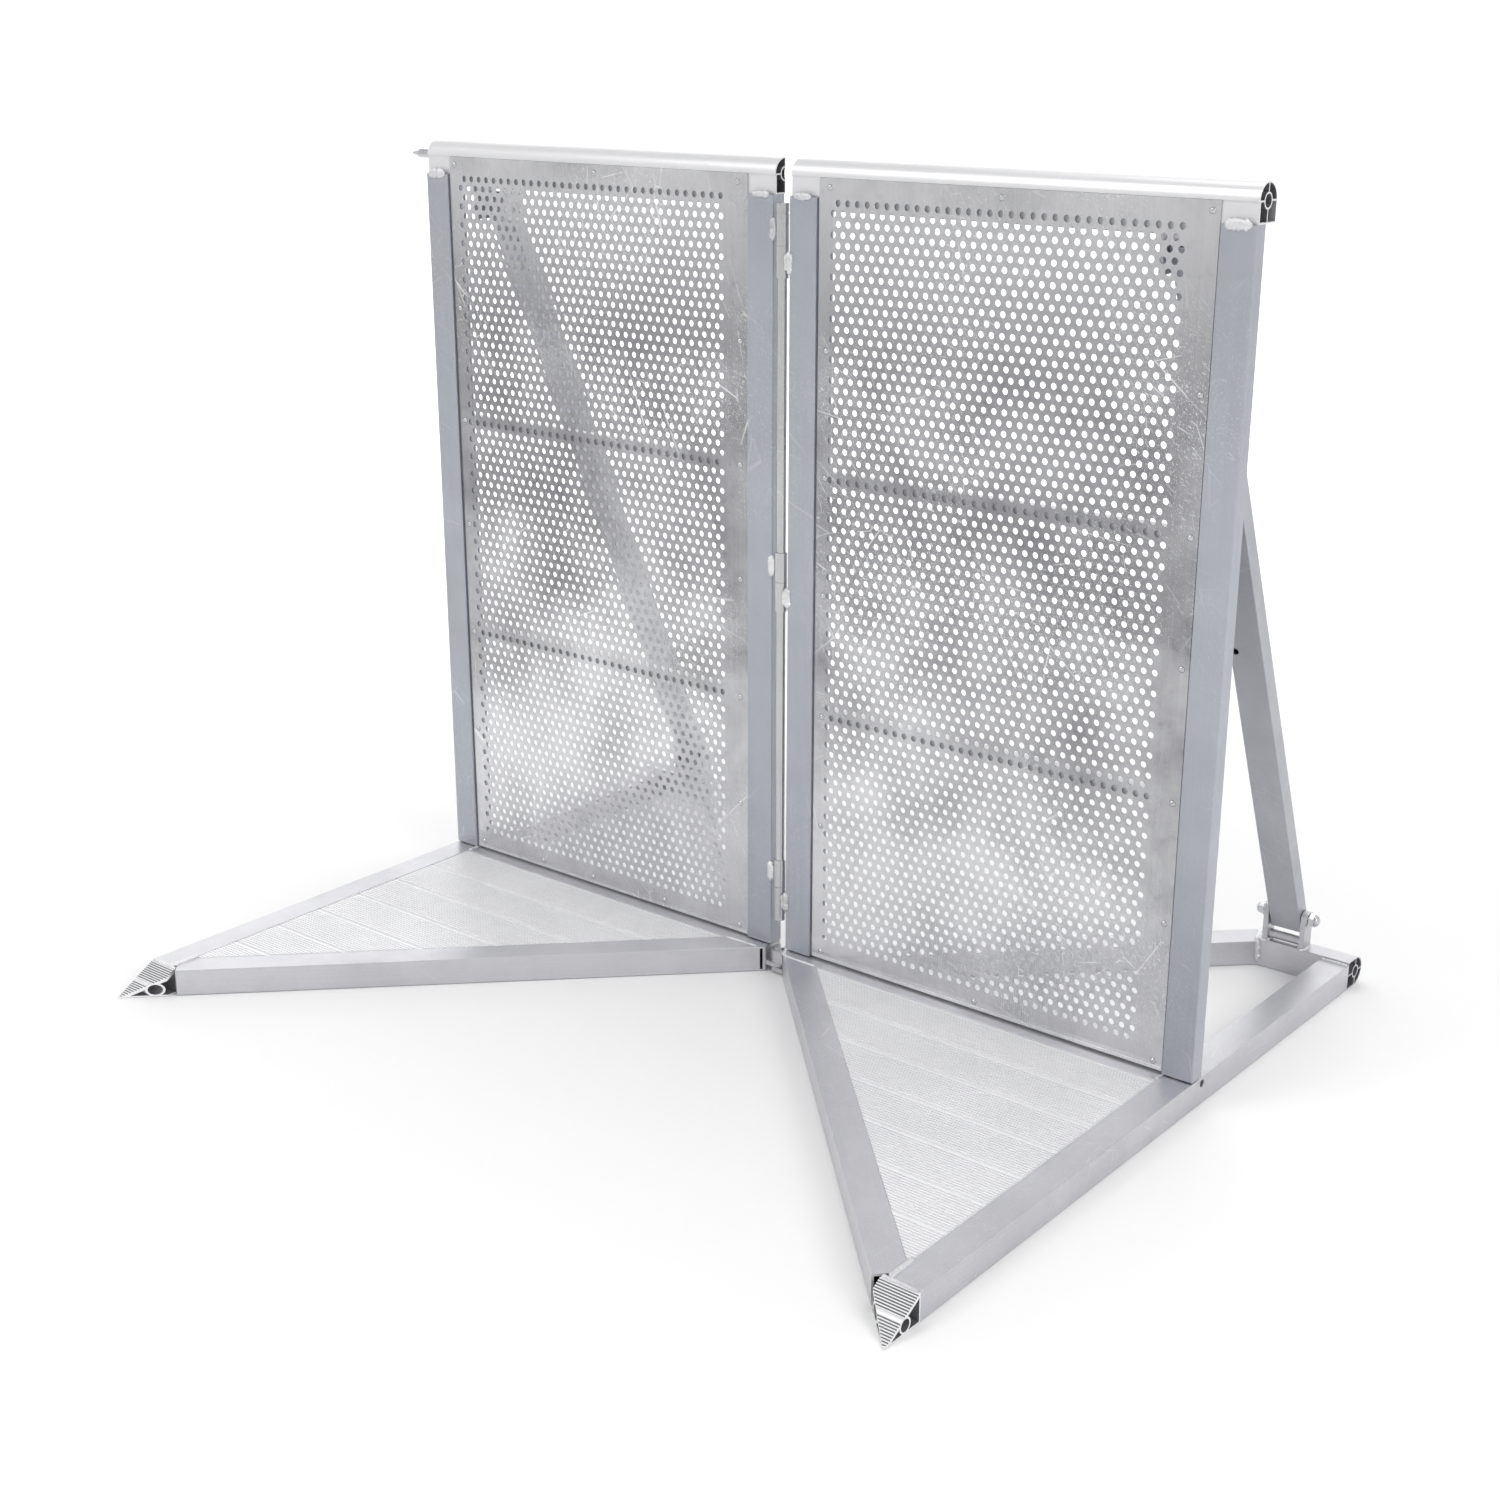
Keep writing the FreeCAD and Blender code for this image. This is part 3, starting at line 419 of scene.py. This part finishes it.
def bead(start, end, wide, proud=None, normal=None, pitch=2.6):
    """A row of overlapping weld scallops from start to end, half sunk in the metal it joins.

    wide is half the bead's width, proud its height along the normal and pitch the length of a scallop,
    all in millimetres.
    """
    start, end = Vector(start), Vector(end)
    along = (end - start).normalized()
    length = (end - start).length
    other = Vector(normal) if normal else along.orthogonal().normalized()
    third = along.cross(other)
    lift = (proud or wide) / wide
    steps = max(BEAD_STEPS, int(length / (pitch * MM / SCALLOP_STEPS)))
    points = []
    phase = dice.random()
    drift = dice.uniform(-1, 1) * BEAD_WANDER * MM
    swell = [dice.uniform(*SCALLOP_SIZES) for _ in range(int(length / (pitch * MM)) + 3)]
    for step in range(steps + 1):
        run = step / steps
        scallop = run * length / (pitch * MM) + phase
        share = eased(scallop)
        size = swell[int(scallop)] * (1 - share) + swell[int(scallop) + 1] * share
        ripple = SCALLOP_FOOT + SCALLOP_RISE * math.sqrt(1 - (scallop % 1) ** 2)
        taper = min(1, math.sqrt(max(0.0, min(run, 1 - run)) * length / (wide * MM)) + BEAD_TIP)
        radius = wide * MM * size * ripple * taper
        middle = start + along * length * run + other * drift * math.sin(run * BEAD_WAVE)
        for side in range(BEAD_SIDES):
            angle = side / BEAD_SIDES * math.tau
            points.append(middle + (other * math.cos(angle) * lift + third * math.sin(angle)) * radius)
    return points, tube_faces(steps + 1, BEAD_SIDES)


def eased(value):
    """Smooth rise from 0 to 1 over each whole number."""
    part = value % 1
    return part * part * (3 - 2 * part)


def revolved(profile, axis, centre, sides=32, bite=None):
    """Surface of revolution about a direction; profile is (along, radius) pairs. bite lowers points."""
    axis = Vector(axis)
    other = axis.orthogonal().normalized()
    third = axis.cross(other)
    points = []
    for height, radius in profile:
        for side in range(sides):
            angle = side / sides * math.tau
            drop = bite(radius * math.cos(angle), radius * math.sin(angle)) if bite else 0
            direction = other * math.cos(angle) + third * math.sin(angle)
            points.append(Vector(centre) + axis * (height - drop) + direction * radius)
    return points, tube_faces(len(profile), sides)


def island_boxes(node):
    """Low and high corner of each separate solid of a node."""
    work = bmesh.new()
    work.from_mesh(frame["nodes"][node].data)
    bmesh.ops.remove_doubles(work, verts=work.verts, dist=SAME_POINT)
    left, boxes = set(work.verts), []
    while left:
        stack, island = [left.pop()], []
        while stack:
            vertex = stack.pop()
            island.append(vertex.co.copy())
            for edge in vertex.link_edges:
                other = edge.other_vert(vertex)
                if other in left:
                    left.remove(other)
                    stack.append(other)
        low = Vector([min(p[i] for p in island) for i in range(3)])
        high = Vector([max(p[i] for p in island) for i in range(3)])
        boxes.append((low, high))
    work.free()
    return sorted(boxes, key=lambda pair: tuple(pair[0]))


# ------------------------------------------------------------------ screws and nuts

# screw heads and the cross recess in them
HEAD_RISE = 2.4 * MM
HEAD_CURVE = 2.4
HEAD_RINGS = 13
HEAD_SIDES = 36
RECESS_REACH = 1.9 * MM
RECESS_HALF_WIDTH = 0.42 * MM
RECESS_DEPTH = 0.9 * MM
RECESS_FADE = 2.2 * MM

# cap nuts
HEX_LENGTH = 9 * MM
# heights and shares of the full width of a nut's hexagon, chamfered at both ends
HEX_RINGS = ((0, 0.93), (0.8 * MM, 1), (HEX_LENGTH - 0.9 * MM, 1), (HEX_LENGTH, 0.95))
DOME_SHARE = 0.9
DOME_RINGS = 11
DOME_SUNK = 0.5 * MM
DOME_FACE = 4 * MM * MM


def cross_recess(x, y):
    """Depth of a cross-shaped driver recess at a point on a screw's head."""
    near, far = sorted((abs(x), abs(y)))
    if far > RECESS_REACH or near > RECESS_HALF_WIDTH:
        return 0
    return RECESS_DEPTH * (1 - (far / RECESS_FADE) ** 2)


def make_screws(side):
    """Round screw heads with a cross recess, each at its own turn, in place of the plain ones."""
    parts = []
    for low, high in island_boxes("sheet_screws_" + side):
        centre = Vector(((low.x + high.x) / 2, low.y, (low.z + high.z) / 2))
        radius = (high.x - low.x) / 2
        profile = [(-HEAD_RISE + 0.1 * MM, radius * 0.98)]
        for step in range(HEAD_RINGS):
            r = radius * (1 - step / (HEAD_RINGS - 0.5))
            profile.append((-HEAD_RISE * (r / radius) ** HEAD_CURVE, r))
        turn = dice.random() * 1.5
        parts.append(revolved(profile, (0, -1, 0), centre, HEAD_SIDES, lambda x, y, t=turn: cross_recess(
            x * math.cos(t) - y * math.sin(t), x * math.sin(t) + y * math.cos(t))))
    heads = piece("screw_heads_" + side, parts, BODY[side], bright)
    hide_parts("sheet_screws_" + side)


def make_cap_nuts(side):
    """Chamfered hexagons with a dome on the outer end, in place of the plain nuts."""
    parts = []
    for low, high in island_boxes("cap_nuts_" + side):
        outward = 1 if (low.x + high.x) / 2 > pivots[side].x else -1
        start = low.x if outward > 0 else high.x
        centre = Vector((start, pivots[side].y, pivots[side].z))
        corner = (high.z - low.z) / 2
        points = []
        for height, size in HEX_RINGS:
            for index in range(6):
                angle = index * math.tau / 6 + math.tau / 4
                points.append(centre + Vector((outward * height, corner * size * math.cos(angle),
                                               corner * size * math.sin(angle))))
        parts.append((points, tube_faces(len(HEX_RINGS), 6)))
        dome = high.x - low.x - HEX_LENGTH
        dome_radius = (high.y - low.y) / 2 * DOME_SHARE
        profile = [(HEX_LENGTH - DOME_SUNK, dome_radius)]
        for step in range(DOME_RINGS):
            angle = step / (DOME_RINGS - 0.5) * math.pi / 2
            profile.append((HEX_LENGTH + dome * math.sin(angle), dome_radius * math.cos(angle)))
        parts.append(revolved(profile, (outward, 0, 0), centre))
    nuts = piece("cap_nut_shapes_" + side, parts, BODY[side], bright, smooth=False)
    for face in nuts.data.polygons:
        face.use_smooth = len(face.vertices) == 4 and face.area < DOME_FACE
    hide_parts("cap_nuts_" + side)


# ------------------------------------------------------------------ welds

# thickness of the clevis's cheeks, and where the lowest beads start
CHEEK = 8 * MM
ABOVE_GROUND = 4 * MM
# the beads stay this far inside the outline, so that they don't widen the barrier
INSIDE_OUTLINE = 0.2 * MM
FRONT = (0, 1, 0)
UP = (0, 0, 1)


def make_welds(side):
    """Weld beads of one half, from the post tops down to the base and back to the strut."""
    sign = SIDES[side]
    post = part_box("outer_post_" + side)
    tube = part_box("base_side_tube_" + side)
    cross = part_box("base_cross_tube_" + side)
    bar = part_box("rear_crossbar_" + side)
    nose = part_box("nose_ramp_" + side)
    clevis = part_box("strut_clevis_" + side)
    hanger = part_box("strut_hanger_" + side)
    near, far = (0, 1) if sign > 0 else (1, 0)
    parts = []

    def from_hinge(offset):
        return hinge.x + sign * offset * MM

    def weld(start, end, *shape):
        parts.append(bead(start, end, *shape))

    def weld_x(start, end, y, z, *shape):
        weld((start, y, z), (end, y, z), *shape)

    def weld_y(x, start, end, z, *shape):
        weld((x, start, z), (x, end, z), *shape)

    def weld_z(x, y, start, end, *shape):
        weld((x, y, start), (x, y, end), *shape)

    # post tops, under the rail
    outer_x = post[far].x
    front, top = post[0].y, post[1].z
    for edge, length, tall in ((outer_x - sign * 41 * MM, 36 * MM, 8.0), (from_hinge(21), 31 * MM, 5.5)):
        weld_x(edge, edge + sign * length, front, top, tall, 3.0, FRONT, 3.2)
    weld_y(outer_x, front + 6 * MM, post[1].y - 3 * MM, top, 2.6)

    # hinge barrels to the inner post: a thick bead in front, a thin one beside it and one behind
    for low, high in island_boxes("hinge_knuckles_" + side):
        middle = (low.z + high.z) / 2
        weld_z(from_hinge(14.5), hinge.y - 4 * MM, middle - 16 * MM, middle + 16 * MM, 6.0, 4.0, FRONT, 5.0)
        weld_z(from_hinge(9.5), hinge.y - 5.5 * MM, middle - 11 * MM, middle + 11 * MM, 2.6)
        weld_z(from_hinge(13.5), hinge.y + 8 * MM, middle - 13 * MM, middle + 13 * MM, 2.8)

    # ramp nose to the side tube, and the front diagonal beside it
    deck = tube[1].z
    outer, inside, join = tube[far].x, tube[near].x, tube[0].y
    weld_x(nose[near].x, outer - sign * 2 * MM, join, deck - 1.6 * MM, 3.2)
    weld_z(outer - sign * 0.8 * MM, join, ABOVE_GROUND, deck - 4 * MM, 2.2)
    weld_y(inside, join + 3 * MM, join + 50 * MM, deck, 4.2, 3.0, UP)
    weld((inside + sign * 3 * MM, join + 1 * MM, deck), (inside + sign * 1 * MM, join + 34 * MM, deck),
         3.4, 2.4, UP)

    # cross tube under the fence
    start = cross[near].x
    weld((start + sign * 8 * MM, cross[0].y + 2 * MM, deck), (start + sign * 66 * MM, cross[0].y, deck), 2.2)
    weld_y(inside, cross[0].y + 3 * MM, cross[1].y - 3 * MM, deck, 2.2)

    # rear cross bar to the side tube and to the rear diagonal
    rear = bar[0].y
    weld_x(inside + sign * 2 * MM, outer - sign * 2 * MM, rear, deck, 2.6)
    weld_z(outer - sign * 0.6 * MM, rear, ABOVE_GROUND, deck - 3 * MM, 2.0)
    weld((from_hinge(554.6), rear, 40.5 * MM), (from_hinge(542), bar[1].y - 9 * MM, 43.5 * MM),
         5.0, 3.0, UP, 4.0)
    weld_z(from_hinge(555), rear + 1 * MM, 6 * MM, 42 * MM, 6.0, 6.0, FRONT, 4.2)

    # both cheeks of the strut's clevis: their long edges, then their short ones
    bar_top = bar[1].z
    for x in (clevis[0].x, clevis[0].x + CHEEK, clevis[1].x, clevis[1].x - CHEEK):
        weld_y(x, clevis[0].y + 1 * MM, clevis[1].y - 1 * MM, bar_top, 3.4)
    for x in (clevis[0].x, clevis[1].x - CHEEK):
        for y in (clevis[0].y, clevis[1].y):
            weld_x(x - 1 * MM, x + 9 * MM, y, bar_top, 4.4, 3.4, UP, 3.6)

    # hanger of the strut, behind the rail
    for x in (hanger[0].x, hanger[1].x):
        weld_y(x, hanger[0].y + 2 * MM, hanger[0].y + 19 * MM, hanger[1].z - 1.5 * MM, 2.2)

    for points, _ in parts:
        for point in points:
            point.x = min(point.x, cad_box[1][0] - INSIDE_OUTLINE)
    piece("weld_beads_" + side, parts, BODY[side], weld_metal)


# ------------------------------------------------------------------ sheets

def sheet_holes(low, high):
    """Centres of the perforations: a triangular grid, set towards the spigot end on both sheets."""
    first = (low.x + high.x) / 2 - PATTERN_SHIFT - (HOLE_COLUMNS - 0.5) * PITCH / 2
    return [(first + (place - row % 2 / 2) * PITCH, TOP_ROW - row * PITCH * math.sqrt(3) / 2)
            for row in range(HOLE_ROWS) for place in range(HOLE_COLUMNS)]


def make_sheet(side):
    """Perforated sheet with real holes: each hole's ring is joined to its own cell of the grid."""
    low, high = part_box("perforated_sheet_" + side)
    work = bmesh.new()
    cache = {}
    reach = PITCH / math.sqrt(3)
    per = HOLE_SIDES // 6

    def corner(x, z, y):
        key = (round(x / KEY_STEP), round(z / KEY_STEP), y)
        if key not in cache:
            cache[key] = work.verts.new((x, y, z))
        return cache[key]

    for x, z in sheet_holes(low, high):
        rings = {}
        for y in (low.y, high.y):
            ring = []
            for step in range(HOLE_SIDES):
                angle = (step + 0.5) * math.tau / HOLE_SIDES
                ring.append(work.verts.new((x + HOLE_RADIUS * math.cos(angle), y,
                                            z + HOLE_RADIUS * math.sin(angle))))
            rings[y] = ring
            # the cell round a hole is a hexagon that meets its neighbours' cells edge to edge
            cell = []
            for step in range(6):
                angle = math.radians(30 + 60 * step)
                cell.append(corner(x + reach * math.cos(angle), z + reach * math.sin(angle), y))
            for step in range(6):
                start = (step * per + per // 2) % HOLE_SIDES
                arc = [ring[(start + count) % HOLE_SIDES] for count in range(per + 1)]
                face = [cell[step], cell[(step + 1) % 6]] + arc[::-1]
                work.faces.new(face if y == high.y else face[::-1])
        front, back = rings[low.y], rings[high.y]
        for step in range(HOLE_SIDES):
            after = (step + 1) % HOLE_SIDES
            face = work.faces.new((front[step], front[after], back[after], back[step]))
            face.smooth = True
    fill_border(work, low, high)
    mesh = bpy.data.meshes.new("perforated_field_" + side)
    bmesh.ops.recalc_face_normals(work, faces=work.faces)
    work.to_mesh(mesh)
    work.free()
    thing = bpy.data.objects.new("perforated_field_" + side, mesh)
    scene_objects.link(thing)
    mesh.materials.append(sheet_metal)
    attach(thing, BODY[side])
    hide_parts("perforated_sheet_" + side)


def fill_border(work, low, high):
    """Plain border of the sheet, from the outline of the cells to the sheet's edge, and the edge itself."""
    sheets = []
    for y in (low.y, high.y):
        outline = [edge for edge in work.edges
                   if edge.is_boundary and all(abs(v.co.y - y) < ON_FACE for v in edge.verts)]
        corners = [work.verts.new((x, y, z)) for x, z in
                   ((low.x, low.z), (high.x, low.z), (high.x, high.z), (low.x, high.z))]
        border = [work.edges.new((corners[i], corners[(i + 1) % 4])) for i in range(4)]
        bmesh.ops.triangle_fill(work, use_beauty=True, use_dissolve=False, edges=outline + border)
        sheets.append(corners)
    # the fill lays faces of no area along the straight parts of the outline
    bmesh.ops.delete(work, geom=[face for face in work.faces if face.calc_area() < NO_AREA],
                     context="FACES")
    front, back = sheets
    for i in range(4):
        work.faces.new((front[i], front[(i + 1) % 4], back[(i + 1) % 4], back[i]))


# height above the sheet's foot, half height and depth of each pressed line
HEM_LINES = ((4.2 * MM, 0.8 * MM, 0.45 * MM), (1.2 * MM, 1.6 * MM, 0.5 * MM))
HEM_SECTION = ((0.3, -1), (-0.6, -0.5), (-1, 0), (-0.6, 0.5), (0.3, 1))
HEM_END = 0.3 * MM


def make_hem(side):
    """Two pressed lines along the foot of the sheet, where its hem is folded."""
    low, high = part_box("perforated_sheet_" + side)
    parts = []
    for rise, tall, proud in HEM_LINES:
        z = low.z + rise
        points = [Vector((x, low.y + dy * proud, z + dz * tall))
                  for x in (low.x + HEM_END, high.x - HEM_END) for dy, dz in HEM_SECTION]
        faces = [[i, i + 1, i + 6, i + 5] for i in range(4)]
        faces += [[0, 1, 2, 3, 4], [9, 8, 7, 6, 5], [0, 5, 9, 4]]
        parts.append((points, faces))
    piece("sheet_hem_" + side, parts, BODY[side], sheet_metal, smooth=False)


for side in SIDES:
    make_sheet(side)
    make_screws(side)
    make_cap_nuts(side)
    make_welds(side)
    make_hem(side)


# ------------------------------------------------------------------ stage, light and camera

FLOOR_RADIUS = 7.0
CURVE_RADIUS = 3
CURVE_STEPS = 12
WALL_TOP = 9
CENTRE_RADIUS = 0.001
FLOOR_DROP = 0.0006
FLOOR_SIDES = 96
FLOOR_PAINT = (0.93, 0.93, 0.93)
FLOOR_ROUGH = 0.9
# name, place, aim, diameter and watts of each lamp
LAMPS = (
    ("key_light", (-2.5, -4.5, 5.5), (0, 0, 0.5), 3.5, 95),
    ("side_light", (5.0, -0.5, 3.5), (0, 0, 0.5), 3.0, 80),
    ("top_light", (0, 1.5, 6.0), (0, 0, 0), 4.0, 80),
    ("wall_light", (-2.5, 2.5, 5.0), (-6.5, 7.5, 1.5), 3.0, 420),
)
AIR_STRENGTH = 0.62
# solved from the photo: place, downward tilt, turn, and focal length in pixels of its frame
CAMERA_PLACE = (1.88195, -2.25575, 1.38044)
CAMERA_TILT = 0.330447
CAMERA_TURN = 0.684838
FOCAL_PIXELS = 2139.75
PHOTO_WIDTH = 1500
SENSOR_WIDTH = 36


def studio():
    """Pale round floor that curves up into a wall, so no horizon shows from any side."""
    profile = [(0, CENTRE_RADIUS), (0, FLOOR_RADIUS)]
    for step in range(1, CURVE_STEPS + 1):
        angle = step / CURVE_STEPS * math.pi / 2
        profile.append((CURVE_RADIUS * (1 - math.cos(angle)), FLOOR_RADIUS + CURVE_RADIUS * math.sin(angle)))
    profile.append((WALL_TOP, FLOOR_RADIUS + CURVE_RADIUS))
    points, faces = revolved(profile, (0, 0, 1), (0, 0, -FLOOR_DROP), FLOOR_SIDES)
    mesh = joined_mesh("studio_floor", [(points, faces[:-1])])
    floor = bpy.data.objects.new("studio_floor", mesh)
    scene_objects.link(floor)
    for face in mesh.polygons:
        face.use_smooth = True
    paint = bpy.data.materials.new("studio_paint")
    paint.use_nodes = True
    shader = paint.node_tree.nodes["Principled BSDF"]
    shader.inputs["Base Color"].default_value = (*FLOOR_PAINT, 1)
    shader.inputs["Roughness"].default_value = FLOOR_ROUGH
    mesh.materials.append(paint)


def light(name, place, aim, size, power):
    lamp = bpy.data.lights.new(name, "AREA")
    lamp.shape = "DISK"
    lamp.size = size
    lamp.energy = power
    thing = bpy.data.objects.new(name, lamp)
    thing.location = place
    thing.rotation_euler = (Vector(aim) - Vector(place)).to_track_quat("-Z", "Y").to_euler()
    scene_objects.link(thing)


studio()
for lamp in LAMPS:
    light(*lamp)
world = bpy.data.worlds.new("studio_air")
world.use_nodes = True
world.node_tree.nodes["Background"].inputs["Color"].default_value = (1, 1, 1, 1)
world.node_tree.nodes["Background"].inputs["Strength"].default_value = AIR_STRENGTH
bpy.context.scene.world = world
bpy.context.scene.view_settings.view_transform = "Standard"

lens = bpy.data.cameras.new("camera")
lens.sensor_width = SENSOR_WIDTH
lens.lens = FOCAL_PIXELS / PHOTO_WIDTH * SENSOR_WIDTH
camera = bpy.data.objects.new("camera", lens)
camera.location = CAMERA_PLACE
camera.rotation_euler = (math.pi / 2 - CAMERA_TILT, 0, CAMERA_TURN)
scene_objects.link(camera)
bpy.context.scene.camera = camera
